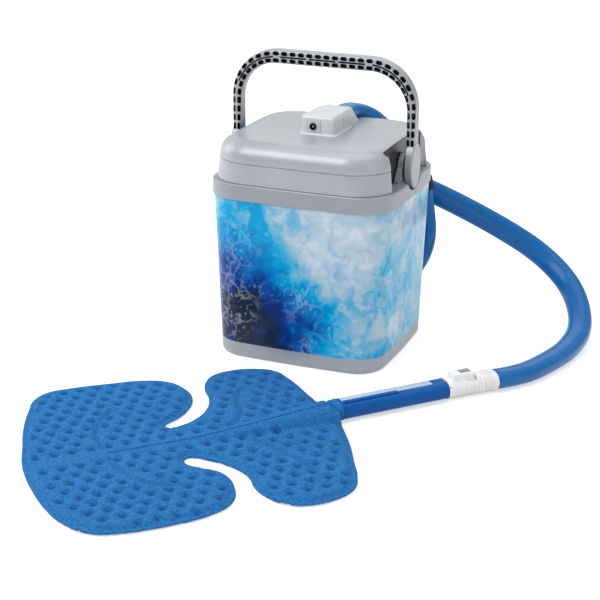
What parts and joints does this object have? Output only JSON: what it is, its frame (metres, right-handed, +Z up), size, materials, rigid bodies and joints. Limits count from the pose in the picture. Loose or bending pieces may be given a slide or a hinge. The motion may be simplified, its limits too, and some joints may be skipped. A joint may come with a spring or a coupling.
{
  "type": "hot cold therapy machine",
  "caption": "Ice-water cooler with a pump lid, swinging carry bail, insulated hose with quick-release coupling, and a flat knee pad.",
  "frame": {"origin": "centre of the cooler's base on the surface it stands on", "axes": "+Z up, the front with the power jack faces -Y, +X is the cooler's right seen from the front"},
  "size_m": [0.4886, 0.6949, 0.323],
  "materials": {
    "shell_plastic": "satin white-grey moulded plastic",
    "lid_plastic": "satin light grey moulded plastic",
    "bail_plastic": "satin light grey moulded plastic",
    "print_film": "glossy printed film, icy blues",
    "liner_plastic": "smooth white plastic",
    "foam": "rigid insulation foam",
    "black_plastic": "matt black plastic",
    "jack_metal": "bright metal",
    "steel": "bright steel",
    "pump_plastic": "dark moulded plastic",
    "seal_rubber": "soft rubber",
    "water_tube": "clear soft tube",
    "hose_fabric": "royal blue insulated sleeve",
    "strap_fabric": "black webbing",
    "coupling_plastic": "white moulded plastic",
    "button_plastic": "grey moulded plastic",
    "label_strip": "pale woven strip",
    "pad_fabric": "mid blue brushed fabric"
  },
  "bodies": {
    "tub": {"outer_shell": "shell_plastic", "wrap_sleeve": "print_film", "foam_jacket": "foam", "ice_liner": "liner_plastic", "rim_collar": "lid_plastic", "hose": "hose_fabric", "hose_strap": "strap_fabric", "coupling_socket": "coupling_plastic"},
    "lid": {"lid_top": "lid_plastic", "lid_underside": "liner_plastic", "lid_foam": "foam", "lid_gasket": "seal_rubber", "lid_screws": "steel", "pump_cover": "lid_plastic", "jack_plate": "lid_plastic", "power_jack": "black_plastic", "jack_pin": "jack_metal", "pump_stem": "liner_plastic", "pump_housing": "pump_plastic", "shaft_seal": "seal_rubber", "strainer": "pump_plastic", "pump_motor": "pump_plastic", "motor_bracket": "pump_plastic", "supply_tube": "water_tube", "return_tube": "water_tube", "hose_boot": "hose_fabric"},
    "impeller_rotor": {"impeller": "pump_plastic", "impeller_shaft": "steel"},
    "bail_handle": {"bail": "bail_plastic"},
    "pad_set": {"coupling_plug": "coupling_plastic", "port_seals": "seal_rubber", "latch_spring": "steel", "pad_tube": "hose_fabric", "tube_label": "label_strip", "pad_cuff": "pad_fabric", "knee_pad": "pad_fabric"},
    "latch": {"latch_button": "button_plastic"}
  },
  "joints": [
    {"name": "bail_swing", "type": "hinge", "parent": "tub", "child": "bail_handle", "pos_m": [0, 0, 0.212], "axis": [1, 0, 0], "range_deg": [-42, 50]},
    {"name": "lid_lift", "type": "slide", "parent": "tub", "child": "lid", "axis": [0, 0, 1], "range_m": [0, 0.015]},
    {"name": "impeller_spin", "type": "hinge", "parent": "lid", "child": "impeller_rotor", "pos_m": [-0.002, 0.006, 0.05], "axis": [0, 0, 1], "continuous": true},
    {"name": "coupling_release", "type": "slide", "parent": "tub", "child": "pad_set", "axis": [-0.6884, -0.7254, 0], "range_m": [0, 0.04]},
    {"name": "latch_press", "type": "slide", "parent": "pad_set", "child": "latch", "axis": [0, 0, -1], "range_m": [0, 0.0015], "stiffness_N_per_m": 600, "springref_m": -0.002, "deforming": ["latch_spring"]}
  ]
}
